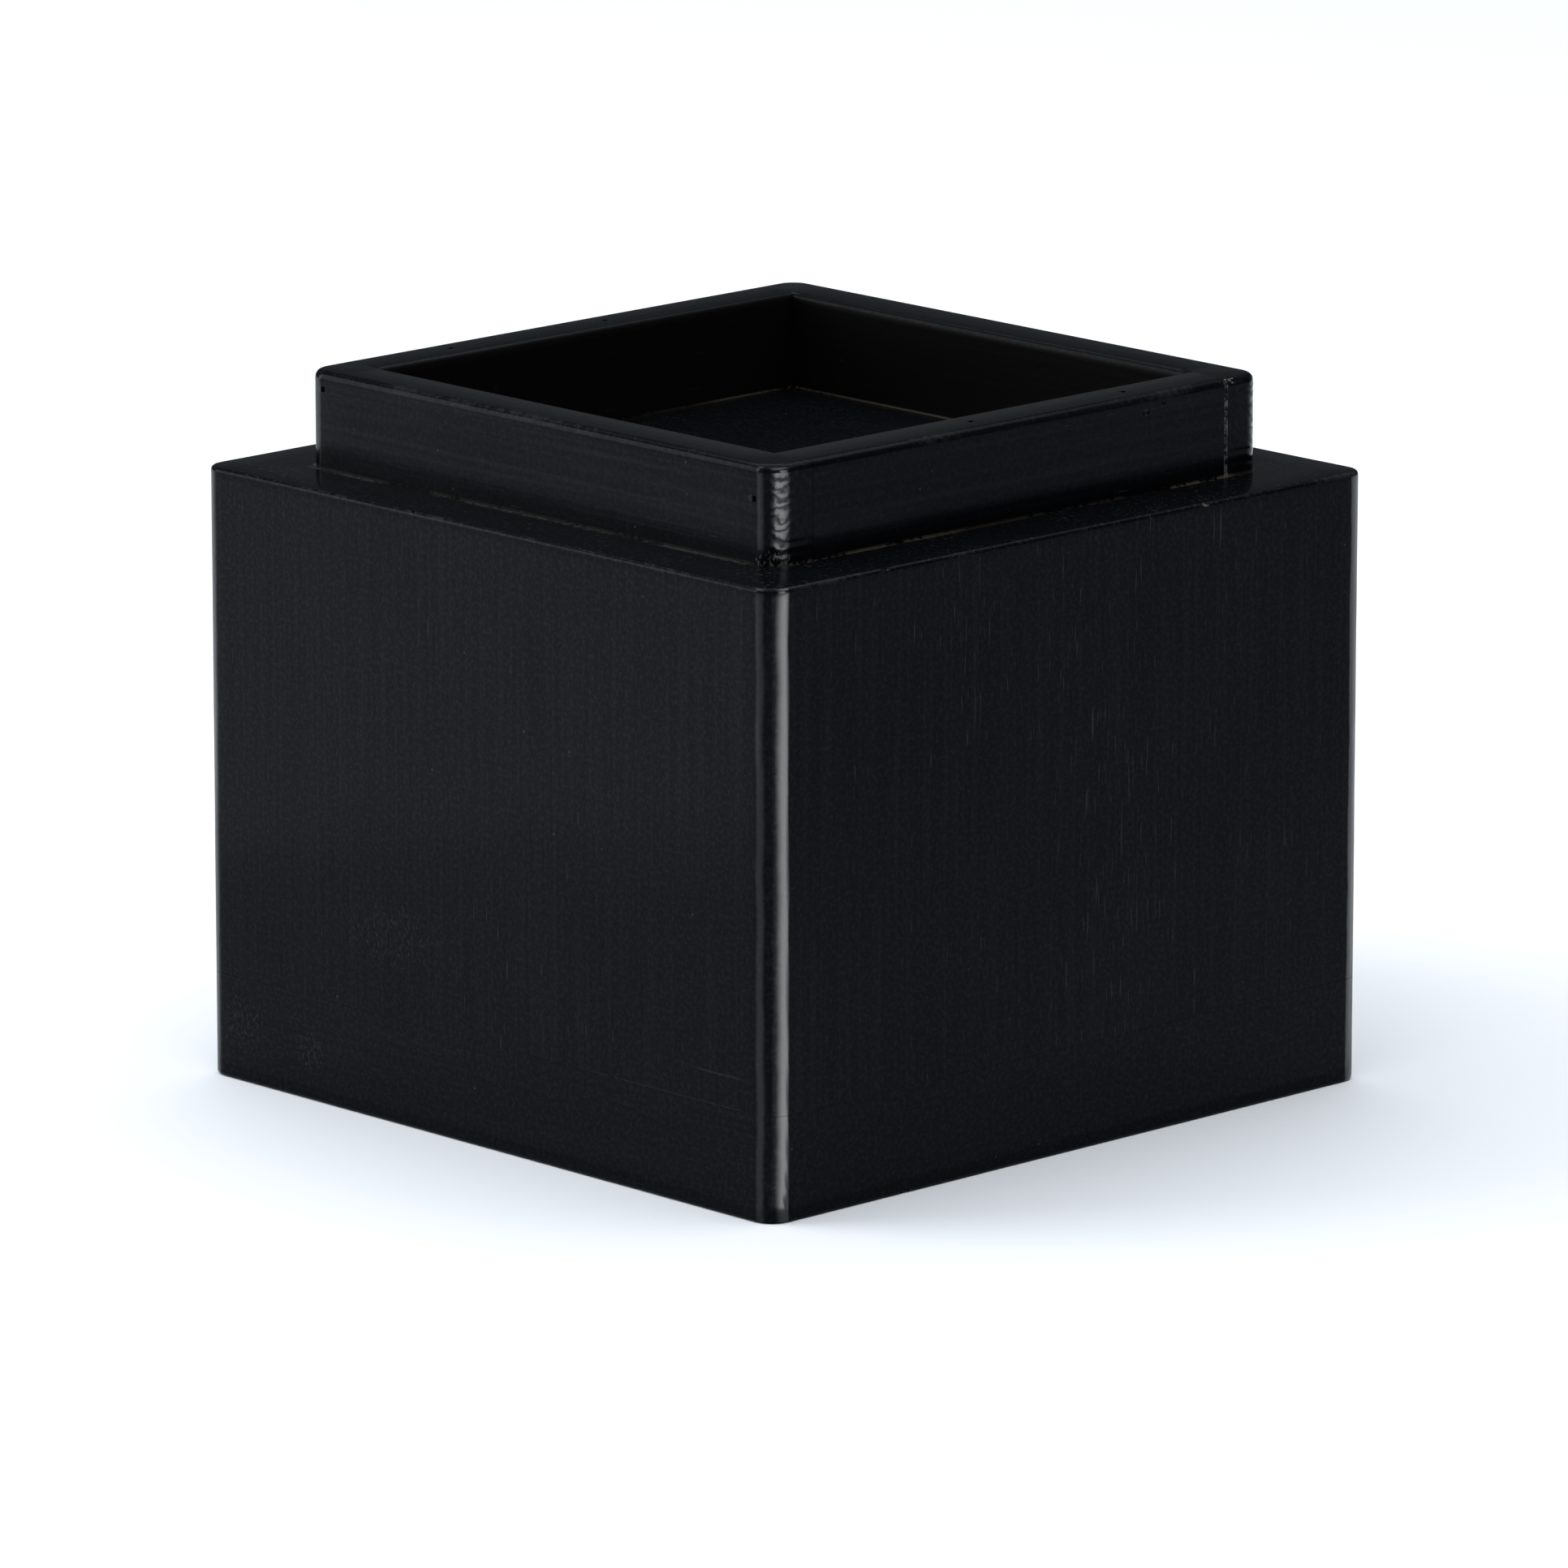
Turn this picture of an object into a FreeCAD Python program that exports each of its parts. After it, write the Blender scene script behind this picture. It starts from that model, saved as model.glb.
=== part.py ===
import FreeCAD, Part

import os

# Bed riser: a square block of timber on a flush base board, crowned by a frame of four rails.
# The frame's square recess takes the foot of a bed leg, which stands on the block's flat top.
# Millimetres, +Z up, origin at the middle of the underside. X runs along the two long rails.

# Frame of rails, sized from the leg that it takes
leg_side = 67.0
leg_clearance = 1.0
rail_thickness = 6.5
rail_height = 12.0
frame_corner_round = 3.0
rim_outer_round = 1.0
rim_inner_round = 0.6

# Block and base board
ledge_width = 9.0
block_height = 63.0
base_board_thickness = 13.0
body_corner_round = 3.0
body_arris_round = 0.5

# Glue lines: each edge along them is eased a little, which leaves a hairline in the finish
glue_line_ease = 0.15

# Headless pins of square wire with chisel points, driven in below the surface
pin_side = 0.7
pin_point_length = 1.2
pin_sink = 0.6
corner_pin_length = 15.0
rim_pin_length = 22.0

# Depth of the corner pins below the rim: at one end of a long rail, and at its other end
corner_pin_drop = 4.2
corner_pin_high_drop = 2.2

# Places of the rim pins, as shares of the stretch between the points of the corner pins
rim_pin_shares = (-0.22, 0.79)

recess_side = leg_side + 2 * leg_clearance
frame_side = recess_side + 2 * rail_thickness
body_side = frame_side + 2 * ledge_width
block_top = base_board_thickness + block_height
rim_top = block_top + rail_height

up = FreeCAD.Vector(0, 0, 1)
x_axis = FreeCAD.Vector(1, 0, 0)
origin = FreeCAD.Vector(0, 0, 0)

# Slack for picking edges by their place
tolerance = 1e-6


def square_prism(side, bottom, height):
    """A square block centred on the Z axis."""
    corner = FreeCAD.Vector(-side / 2, -side / 2, bottom)
    return Part.makeBox(side, side, height, corner)


def upright_edges(shape):
    """The straight edges of a shape that run along Z."""
    edges = []
    for edge in shape.Edges:
        box = edge.BoundBox
        if box.XLength < tolerance and box.YLength < tolerance:
            edges.append(edge)
    return edges


def edges_at_height(shape, height, widest=body_side):
    """The edges that lie flat at one height, within a square of the widest side."""
    edges = []
    for edge in shape.Edges:
        box = edge.BoundBox
        level = abs(box.ZMin - height) < tolerance and abs(box.ZMax - height) < tolerance
        reach = max(abs(box.Center.x), abs(box.Center.y))
        if level and reach < widest / 2 + tolerance:
            edges.append(edge)
    return edges


def rounded_prism(side, bottom, height, corner_round):
    """A square block with its four upright edges rounded."""
    prism = square_prism(side, bottom, height)
    return prism.makeFillet(corner_round, upright_edges(prism))


def make_block():
    """The body: a solid block, with a soft arris round its top and an eased glue line below."""
    block = rounded_prism(body_side, base_board_thickness, block_height, body_corner_round)
    block = block.makeFillet(body_arris_round, edges_at_height(block, block_top))
    return block.makeChamfer(glue_line_ease, edges_at_height(block, base_board_thickness))


def make_base_board():
    """The board under the block, flush with its sides."""
    board = rounded_prism(body_side, 0, base_board_thickness, body_corner_round)
    board = board.makeFillet(body_arris_round, edges_at_height(board, 0))
    return board.makeChamfer(glue_line_ease, edges_at_height(board, base_board_thickness))


def make_frame():
    """The whole frame as it is after sanding, with its rounds running on across the joints."""
    outer = rounded_prism(frame_side, block_top, rail_height, frame_corner_round)
    outer = outer.makeFillet(rim_outer_round, edges_at_height(outer, rim_top))
    outer = outer.makeChamfer(glue_line_ease, edges_at_height(outer, block_top))
    frame = outer.cut(square_prism(recess_side, block_top, rail_height))
    return frame.makeFillet(rim_inner_round, edges_at_height(frame, rim_top, recess_side))


def split_frame(frame):
    """The four rails: long ones over the full side, short ones butted between them."""
    corner = FreeCAD.Vector(-frame_side / 2, -recess_side / 2, block_top)
    between = Part.makeBox(frame_side, recess_side, rail_height, corner)
    long_rails = frame.cut(between)
    short_rails = frame.common(between)
    front, rear = sorted(long_rails.Solids, key=lambda rail: rail.CenterOfMass.y)
    left, right = sorted(short_rails.Solids, key=lambda rail: rail.CenterOfMass.x)
    return {
        "front_long_rail": front,
        "rear_long_rail": rear,
        "left_short_rail": left,
        "right_short_rail": right,
    }


def make_pin(length, pit=0):
    """A pin with its blunt end at the origin, pointing down, or the hole for it with a pit above."""
    half = pin_side / 2
    outline = Part.makePolygon([
        FreeCAD.Vector(-half, -half, pit),
        FreeCAD.Vector(half, -half, pit),
        FreeCAD.Vector(half, -half, pin_point_length - length),
        FreeCAD.Vector(0, -half, -length),
        FreeCAD.Vector(-half, -half, pin_point_length - length),
        FreeCAD.Vector(-half, -half, pit),
    ])
    return Part.Face(outline).extrude(FreeCAD.Vector(0, pin_side, 0))


def corner_pin_places():
    """Where the corner pins go in: through each long rail, into the ends of the short rails."""
    across = (frame_side - rail_thickness) / 2
    depth = frame_side / 2 - pin_sink
    turn_to_front = FreeCAD.Rotation(x_axis, 90)
    places = []
    for half_turn in (0, 180):
        about = FreeCAD.Placement(origin, FreeCAD.Rotation(up, half_turn))
        for side, drop in ((1, corner_pin_drop), (-1, corner_pin_high_drop)):
            spot = FreeCAD.Vector(side * across, -depth, rim_top - drop)
            places.append(about.multiply(FreeCAD.Placement(spot, turn_to_front)))
    return places


def rim_pin_places():
    """Where the rim pins go in: down through each short rail, into the block."""
    across = (frame_side - rail_thickness) / 2
    free_reach = frame_side / 2 - pin_sink - corner_pin_length
    places = []
    for half_turn in (0, 180):
        about = FreeCAD.Placement(origin, FreeCAD.Rotation(up, half_turn))
        for share in rim_pin_shares:
            spot = FreeCAD.Vector(across, share * free_reach, rim_top - pin_sink)
            places.append(about.multiply(FreeCAD.Placement(spot, FreeCAD.Rotation())))
    return places


def placed_copies(shape, places):
    """One copy of a shape at each place."""
    copies = []
    for place in places:
        copy = shape.copy()
        copy.Placement = place
        copies.append(copy)
    return copies


def build():
    """All the pieces by name, with the pin holes cut."""
    pieces = {"body_block": make_block(), "base_board": make_base_board()}
    pieces.update(split_frame(make_frame()))
    holes = placed_copies(make_pin(corner_pin_length, 2 * pin_sink), corner_pin_places())
    holes += placed_copies(make_pin(rim_pin_length, 2 * pin_sink), rim_pin_places())
    for name in pieces:
        pieces[name] = pieces[name].cut(holes)
    corner_pins = placed_copies(make_pin(corner_pin_length), corner_pin_places())
    rim_pins = placed_copies(make_pin(rim_pin_length), rim_pin_places())
    pieces["corner_pins"] = Part.makeCompound(corner_pins)
    pieces["rim_pins"] = Part.makeCompound(rim_pins)
    return pieces


os.makedirs("parts", exist_ok=True)
for node, solid in build().items():
    solid.exportStep(f"parts/{node}.step")
    print(node, len(solid.Solids), "solids", round(solid.Volume, 2), "mm3", solid.isValid())
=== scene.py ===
"""Dresses the bed riser: modelled timber pieces, black lacquer with its wear, and a small studio."""

import math

import bmesh
import bpy
from bpy.props import FloatProperty, FloatVectorProperty, PointerProperty
from bpy.types import Operator, Panel, PropertyGroup
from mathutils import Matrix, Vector, noise


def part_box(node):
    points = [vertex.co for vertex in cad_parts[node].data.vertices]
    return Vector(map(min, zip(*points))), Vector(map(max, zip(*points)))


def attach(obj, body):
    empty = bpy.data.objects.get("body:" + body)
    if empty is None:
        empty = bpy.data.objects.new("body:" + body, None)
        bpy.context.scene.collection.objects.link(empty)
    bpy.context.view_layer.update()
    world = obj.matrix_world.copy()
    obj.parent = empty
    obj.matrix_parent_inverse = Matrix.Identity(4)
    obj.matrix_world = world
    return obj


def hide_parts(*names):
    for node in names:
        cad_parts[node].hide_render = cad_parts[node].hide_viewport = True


bl_info = {
    "name": "Bed Riser",
    "version": (1, 0, 0),
    "blender": (4, 5, 0),
    "location": "3D View > Sidebar > Bed Riser",
    "description": "Models and finishes a lacquered timber bed riser on a studio floor",
    "category": "Object",
}

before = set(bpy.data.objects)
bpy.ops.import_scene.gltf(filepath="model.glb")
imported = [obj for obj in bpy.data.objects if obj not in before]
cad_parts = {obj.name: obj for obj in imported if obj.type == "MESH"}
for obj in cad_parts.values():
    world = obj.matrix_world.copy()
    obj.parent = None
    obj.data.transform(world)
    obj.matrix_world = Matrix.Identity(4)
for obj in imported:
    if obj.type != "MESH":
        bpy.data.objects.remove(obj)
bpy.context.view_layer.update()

BODY = "root"
MILLIMETRE = 0.001
SLACK = 0.01 * MILLIMETRE
BODY_ROUND = 3 * MILLIMETRE
FRAME_ROUND = 3 * MILLIMETRE
CORNER_SEGMENTS = 10
ARRIS_SEGMENTS = 4
RIM_SEGMENTS = 6
SMOOTH_ANGLE = math.radians(40)

# Turns of the grain from upright
GRAIN_UP = (0, 0, 0)
GRAIN_ALONG_X = (0, math.radians(90), 0)
GRAIN_ALONG_Y = (math.radians(90), 0, 0)

# Sizes of the CAD pieces that the modelled ones stand for
BLOCK_LOW, BLOCK_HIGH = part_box("body_block")
BOARD_LOW, BOARD_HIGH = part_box("base_board")
FRAME_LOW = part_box("front_long_rail")[0]
FRAME_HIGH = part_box("rear_long_rail")[1]
RECESS_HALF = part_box("right_short_rail")[1].y
FRAME_HALF = FRAME_HIGH.x
BODY_HALF = BLOCK_HIGH.x
BLOCK_TOP = BLOCK_HIGH.z
BOARD_TOP = BOARD_HIGH.z
RIM_TOP = FRAME_HIGH.z


# Settings

def length_setting(name, description, default):
    """A length in metres."""
    return FloatProperty(name=name, description=description, default=default, unit="LENGTH")


def share_setting(name, description, default):
    """A share from 0 to 1."""
    return FloatProperty(name=name, description=description, default=default, subtype="FACTOR")


def angle_setting(name, description, default):
    """An angle."""
    return FloatProperty(name=name, description=description, default=default, subtype="ANGLE")


def level_setting(name, description, default):
    """A level of light."""
    return FloatProperty(name=name, description=description, default=default)


def colour_setting(name, description, default):
    """A colour."""
    return FloatVectorProperty(
        name=name, description=description, default=default, subtype="COLOR", max=1, min=0
    )


class RiserShape(PropertyGroup):
    """Rounds and hand finish of the timber."""

    body_corner_round: length_setting("Body corners", "Round of the body's upright edges", BODY_ROUND)
    body_arris_round: length_setting("Body arrises", "Round of the body's top and bottom edges", 0.0005)
    glue_line_ease: length_setting("Glue line ease", "Eased edge along a glue line", 0.00002)
    frame_corner_round: length_setting("Frame corners", "Round of the frame's upright edges", FRAME_ROUND)
    rim_outer_round: length_setting("Outer rim", "Round of the rim's outer edge", 0.001)
    rim_inner_round: length_setting("Inner rim", "Round of the rim's inner edge", 0.0006)
    sanding_depth: length_setting("Sanding", "How far hand sanding wanders from true", 0.00008)
    sanding_span: length_setting("Sanding span", "Length of one hollow left by sanding", 0.016)
    ripple_depth: length_setting("End-grain ripple", "Depth of the ripple on the rails' end grain", 0.00005)
    ripple_pitch: length_setting("Ripple pitch", "Distance between two ridges of the end grain", 0.0014)
    cut_step: length_setting("Mesh step", "Distance between two edge loops on the flats", 0.0015)


class RiserFinish(PropertyGroup):
    """Colours and gloss of the lacquer and of what shows through it."""

    lacquer: colour_setting("Lacquer", "Black lacquer", (0.0020, 0.0022, 0.0029))
    fleck: colour_setting("Flecks", "Fine light flecks in the sprayed coat", (0.0042, 0.0047, 0.0060))
    pore: colour_setting("Pores", "Dull light in the open pores", (0.0205, 0.0220, 0.0245))
    thin_coat: colour_setting(
        "Thin coat", "Timber that shows through a thin coat", (0.0046, 0.0035, 0.0026)
    )
    dust: colour_setting("Dust", "Sanding dust and filler along the glue lines", (0.062, 0.055, 0.044))
    scuffed: colour_setting("Scuffs", "Lacquer rubbed pale", (0.030, 0.032, 0.034))
    # Also the colour of the painted reflection at the foot of the frame's front corner.
    bare_and_painted_reflection: colour_setting(
        "Bare timber", "Pale timber and filler where the lacquer has worn through", (0.24, 0.24, 0.23)
    )
    rubbed: colour_setting(
        "Rubbed arrises", "Thin, rubbed lacquer along the arrises", (0.016, 0.017, 0.018)
    )
    steel: colour_setting("Pin steel", "Ends of the wire pins", (0.03, 0.03, 0.032))
    roughness: share_setting("Roughness", "Roughness of the lacquer", 0.18)
    gloss: share_setting("Gloss", "Specular level of the lacquer", 0.030)
    polish: share_setting("Polish", "Share of the surface that has a polished skin", 0.020)
    edge_polish: share_setting(
        "Edge polish", "Polished skin on the lacquer that builds up along upright edges", 0.80
    )
    polish_roughness: share_setting("Polish roughness", "Roughness of the polished skin", 0.15)
    gloss_tint: colour_setting("Gloss tint", "Cool tint of the lacquer's gloss", (0.66, 0.82, 1.0))


class RiserStage(PropertyGroup):
    """Camera, floor and lamps."""

    azimuth: angle_setting("Azimuth", "Direction of the camera, from the front", math.radians(46.25))
    elevation: angle_setting("Elevation", "Height of the camera above the horizon", math.radians(13.25))
    distance: length_setting("Distance", "From the camera to the point it aims at", 1.494)
    aim_height: length_setting("Aim height", "Height of the point the camera aims at", 0.0366)
    field_of_view: angle_setting("Field of view", "Angle across the square picture", math.radians(7.311))
    floor_side: length_setting("Floor", "Side of the floor", 8.0)
    floor_colour: colour_setting("Floor colour", "Pale studio floor", (0.82, 0.86, 0.92))
    world_level: level_setting("Room light", "Level of the dim room", 0.10)
    top_lamp: level_setting("Top lamp", "Radiance of the lamp overhead", 2.15)
    left_panel: level_setting("Left panel", "Radiance of the soft panel on the left", 5.0)
    right_card: level_setting("Right card", "Radiance of the bright card on the right", 4.6)
    front_card: level_setting("Front card", "Radiance of the pale card before the front", 0.8)
    side_card: level_setting("Side card", "Radiance of the pale cards beside the riser", 0.30)
    right_panel: level_setting("Right panel", "Radiance of the panel on the right", 4.0)
    room_tint: colour_setting("Room tint", "Colour of the dim room", (0.86, 0.93, 1.0))


# Mesh tools

def begin_block(name, low, high):
    """Adds a plain block between two corners and opens it for editing."""
    bpy.ops.object.select_all(action="DESELECT")
    middle = (Vector(low) + Vector(high)) / 2
    bpy.ops.mesh.primitive_cube_add(size=1, location=middle, scale=Vector(high) - Vector(low))
    piece = bpy.context.object
    piece.name = name
    piece.data.name = name
    bpy.ops.object.transform_apply(location=True, rotation=True, scale=True)
    bpy.ops.object.mode_set(mode="EDIT")
    return piece


def make_active(piece):
    """Selects one piece alone, for the operators that follow."""
    bpy.ops.object.select_all(action="DESELECT")
    piece.select_set(True)
    bpy.context.view_layer.objects.active = piece


def select_edges(piece, wanted):
    """Selects the edges of the piece being edited whose two ends pass a test."""
    mesh = bmesh.from_edit_mesh(piece.data)
    bpy.ops.mesh.select_all(action="DESELECT")
    bpy.ops.mesh.select_mode(type="EDGE")
    for edge in mesh.edges:
        edge.select_set(wanted(edge.verts[0].co, edge.verts[1].co))
    bmesh.update_edit_mesh(piece.data)


def select_faces(piece, wanted):
    """Selects the faces of the piece being edited whose middle passes a test."""
    mesh = bmesh.from_edit_mesh(piece.data)
    bpy.ops.mesh.select_all(action="DESELECT")
    bpy.ops.mesh.select_mode(type="FACE")
    for face in mesh.faces:
        face.select_set(wanted(face.calc_center_median()))
    bmesh.update_edit_mesh(piece.data)


def is_upright(a, b, half):
    """Whether an edge is one of the four upright corners of a square of that half side."""
    at_corner = abs(abs(a.x) - half) < SLACK and abs(abs(a.y) - half) < SLACK
    return at_corner and abs(a.x - b.x) < SLACK and abs(a.y - b.y) < SLACK


def is_outline(a, b, height, half, round_off):
    """Whether an edge lies on the outline of a rounded square at one height."""
    if abs(a.z - height) > SLACK or abs(b.z - height) > SLACK:
        return False
    return all(on_rounded_square(end, half, round_off) for end in (a, b))


def on_rounded_square(point, half, round_off):
    """Whether a point is on the outline of a square with rounded corners, seen from above."""
    flat = half - round_off
    x, y = abs(point.x), abs(point.y)
    if x > flat + SLACK and y > flat + SLACK:
        return abs(math.hypot(x - flat, y - flat) - round_off) < SLACK
    return abs(max(x, y) - half) < SLACK


def bevel(width, segments):
    """Rounds the selected edges."""
    bpy.ops.mesh.bevel(offset=width, offset_type="OFFSET", segments=segments, profile=0.5, affect="EDGES")


def cut_loops(axis, places):
    """Cuts edge loops through the whole piece at places along an axis."""
    normal = Vector((0, 0, 0))
    normal[axis] = 1
    for place in places:
        bpy.ops.mesh.select_all(action="SELECT")
        bpy.ops.mesh.bisect(plane_co=normal * place, plane_no=normal)


def even_places(low, high, step):
    """Places about one step apart, strictly between two ends."""
    count = max(1, round((high - low) / step))
    return [low + (high - low) * index / count for index in range(1, count)]


def outwards(point, half, round_off):
    """The level direction away from a rounded square's side, and how far the point is inside it."""
    flat = half - round_off
    x, y = abs(point.x), abs(point.y)
    if x > flat and y > flat:
        level = Vector((x - flat, y - flat, 0))
        inside = round_off - level.length
    elif x > y:
        level = Vector((1, 0, 0))
        inside = half - x
    else:
        level = Vector((0, 1, 0))
        inside = half - y
    level.normalize()
    return Vector((math.copysign(level.x, point.x), math.copysign(level.y, point.y), 0)), inside


def sink_sides(piece, half, round_off, depth_at):
    """Moves the skin of a piece's sides inwards by the depth that a function gives for each point."""
    bpy.ops.object.mode_set(mode="OBJECT")
    skin = 1.2 * MILLIMETRE
    for vertex in piece.data.vertices:
        level, inside = outwards(vertex.co, half, round_off)
        if inside < skin:
            vertex.co -= level * depth_at(vertex.co)
    piece.data.update()


def smooth_step(low, high, value):
    """Goes smoothly from 0 to 1 between two values."""
    share = min(1.0, max(0.0, (value - low) / (high - low)))
    return share * share * (3 - 2 * share)


def sanding(point, shape):
    """How far hand sanding has gone in at a point: always inwards, and uneven."""
    fine_span = 0.3 * shape.sanding_span
    fine_share = 0.25
    broad = 0.5 + 0.5 * noise.noise(point / shape.sanding_span)
    fine = 0.5 + 0.5 * noise.noise(point / fine_span)
    return shape.sanding_depth * ((1 - fine_share) * broad + fine_share * fine)


def finish_piece(piece, material, *nodes):
    """Shades a modelled piece, gives it its finish and lets it stand for its CAD nodes."""
    make_active(piece)
    bpy.ops.object.shade_smooth_by_angle(angle=SMOOTH_ANGLE)
    piece.data.materials.clear()
    piece.data.materials.append(material)
    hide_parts(*nodes)
    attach(piece, BODY)


def quadrant_boxes(node):
    """The boxes of the four pins of a group, one in each quarter of the plan."""
    boxes = []
    points = [vertex.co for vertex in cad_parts[node].data.vertices]
    for side_x in (-1, 1):
        for side_y in (-1, 1):
            own = [p for p in points if p.x * side_x > 0 and p.y * side_y > 0]
            low = Vector([min(p[axis] for p in own) for axis in range(3)])
            high = Vector([max(p[axis] for p in own) for axis in range(3)])
            boxes.append((low, high))
    return boxes


def pin_cutters():
    """Boxes that cut the pins' holes, each with a pit from the sunk pin to the open air."""
    reach = 2 * MILLIMETRE
    cutters = []
    for low, high in quadrant_boxes("corner_pins"):
        if low.y < 0:
            low.y -= reach
        else:
            high.y += reach
        cutters.append((low, high))
    for low, high in quadrant_boxes("rim_pins"):
        high.z += reach
        cutters.append((low, high))
    return cutters


def pin_wear():
    """Small rubbed spots beside the pin holes in the rails' outer sides, each a place and a radius."""
    beside = 0.2 * MILLIMETRE
    radius = 0.5 * MILLIMETRE
    spots = []
    for low, high in quadrant_boxes("corner_pins"):
        side = math.copysign(FRAME_HALF, low.y)
        spots.append(((low.x - beside, side, (low.z + high.z) / 2), radius))
    return spots


def cut_pin_holes(piece):
    """Cuts the pins' holes out of a piece."""
    bpy.ops.object.select_all(action="DESELECT")
    parts = []
    for low, high in pin_cutters():
        parts.append(begin_block("pin_hole", low, high))
        bpy.ops.object.mode_set(mode="OBJECT")
    for part in parts:
        part.select_set(True)
    bpy.ops.object.join()
    cut_away(piece, bpy.context.object)


def cut_away(piece, cutter):
    """Cuts one mesh out of another and removes the cutter."""
    make_active(piece)
    modifier = piece.modifiers.new("cut", "BOOLEAN")
    modifier.operation = "DIFFERENCE"
    modifier.solver = "EXACT"
    modifier.object = cutter
    bpy.ops.object.modifier_apply(modifier=modifier.name)
    bpy.data.meshes.remove(cutter.data)


def knock_chips(piece, chips):
    """Knocks small chips out of a piece, each a place and a radius."""
    stretch = (1.0, 1.5, 0.8)
    raggedness = 0.25
    for place, radius in chips:
        bpy.ops.object.select_all(action="DESELECT")
        bpy.ops.mesh.primitive_ico_sphere_add(subdivisions=2, radius=radius, location=place, scale=stretch)
        cutter = bpy.context.object
        bpy.ops.object.transform_apply(location=True, rotation=True, scale=True)
        for vertex in cutter.data.vertices:
            vertex.co += raggedness * radius * noise.noise_vector(vertex.co / radius)
        cut_away(piece, cutter)


# Material tools

class Nodes:
    """A short way to add nodes to a tree and link them."""

    column_width = 180
    # Numbers of the mix node's sockets that take and give colours
    mix_share, mix_first, mix_second, mix_result = 0, 6, 7, 2

    def __init__(self, tree):
        self.tree = tree
        self.column = 0

    def add(self, kind, inputs=None, **settings):
        """Adds a node, sets it up and links or sets its inputs by name or number."""
        made = self.tree.nodes.new(kind)
        self.column += 1
        made.location = (self.column * self.column_width, 0)
        for name, value in settings.items():
            setattr(made, name, value)
        for name, value in (inputs or {}).items():
            if isinstance(value, bpy.types.NodeSocket):
                self.link(value, made.inputs[name])
            else:
                made.inputs[name].default_value = value
        return made

    def link(self, value, socket):
        """Leads a value to a socket."""
        self.tree.links.new(value, socket)

    def math(self, operation, *values, clamp=False):
        """One step of arithmetic."""
        inputs = dict(enumerate(values))
        return self.add("ShaderNodeMath", inputs, operation=operation, use_clamp=clamp).outputs[0]

    def times(self, first, second):
        """The product of two values."""
        return self.math("MULTIPLY", first, second)

    def times_plus(self, first, second, third, clamp=False):
        """The product of two values, plus a third."""
        return self.math("MULTIPLY_ADD", first, second, third, clamp=clamp)

    def minus(self, first, second):
        """The first value less the second."""
        return self.math("SUBTRACT", first, second)

    def absolute(self, value):
        """A value without its sign."""
        return self.math("ABSOLUTE", value)

    def larger(self, first, second):
        """The larger of two values."""
        return self.math("MAXIMUM", first, second)

    def ramp(self, value, low, high, to_low=0.0, to_high=1.0):
        """Goes smoothly from one value to another as the input goes from low to high."""
        inputs = {"Value": value, "From Min": low, "From Max": high, "To Min": to_low, "To Max": to_high}
        made = self.add("ShaderNodeMapRange", inputs, interpolation_type="SMOOTHSTEP")
        return made.outputs["Result"]

    def fall(self, value, low, high):
        """Goes smoothly from 1 to 0 as the input goes from low to high."""
        return self.ramp(value, low, high, 1.0, 0.0)

    def noise(self, vector, scale=1.0, detail=2.0):
        """Smooth noise, from 0 to 1."""
        inputs = {"Vector": vector, "Scale": scale, "Detail": detail}
        return self.add("ShaderNodeTexNoise", inputs).outputs[0]

    def vector_math(self, operation, *vectors):
        """One step of arithmetic on vectors."""
        return self.add("ShaderNodeVectorMath", dict(enumerate(vectors)), operation=operation).outputs

    def stretched_noise(self, vector, scale, detail):
        """Smooth noise with each axis scaled by itself."""
        return self.noise(self.vector_math("MULTIPLY", vector, scale)[0], detail=detail)

    def axes(self, position):
        """The three coordinates of a place."""
        parts = self.add("ShaderNodeSeparateXYZ", {0: position}).outputs
        return parts[0], parts[1], parts[2]

    def mix(self, share, first, second):
        """Goes from the first colour to the second."""
        inputs = {self.mix_share: share, self.mix_first: first, self.mix_second: second}
        return self.add("ShaderNodeMix", inputs, data_type="RGBA").outputs[self.mix_result]


def new_group(name, vectors, values, outputs):
    """An empty shader node group with vector and value inputs and value outputs."""
    tree = bpy.data.node_groups.new(name, "ShaderNodeTree")
    for label in vectors:
        tree.interface.new_socket(name=label, in_out="INPUT", socket_type="NodeSocketVector")
    for label in values:
        tree.interface.new_socket(name=label, in_out="INPUT", socket_type="NodeSocketFloat")
    for label in outputs:
        tree.interface.new_socket(name=label, in_out="OUTPUT", socket_type="NodeSocketFloat")
    nodes = Nodes(tree)
    entry = nodes.add("NodeGroupInput").outputs
    leave = nodes.add("NodeGroupOutput").inputs
    return nodes, entry, leave


def build_open_pores(name):
    """Short dashes and fine streaks along Z, as open pores leave under a thin lacquer."""
    nodes, entry, leave = new_group(name, ["Vector"], ["Amount"], ["Pores", "Grain"])
    dash_size = (2600, 2600, 200)
    patch_size = (70, 70, 30)
    streak_size = (1500, 1500, 26)
    closed_limit, open_share, soft_rim = 0.79, 0.16, 0.07
    dashes = nodes.stretched_noise(entry["Vector"], dash_size, 1.0)
    patches = nodes.stretched_noise(entry["Vector"], patch_size, 2.0)
    share = nodes.times(nodes.ramp(patches, 0.25, 0.70), entry["Amount"])
    limit = nodes.times_plus(share, -open_share, closed_limit)
    nodes.link(nodes.ramp(nodes.minus(dashes, limit), 0.0, soft_rim), leave["Pores"])
    nodes.link(nodes.stretched_noise(entry["Vector"], streak_size, 3.0), leave["Grain"])
    return nodes.tree


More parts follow.
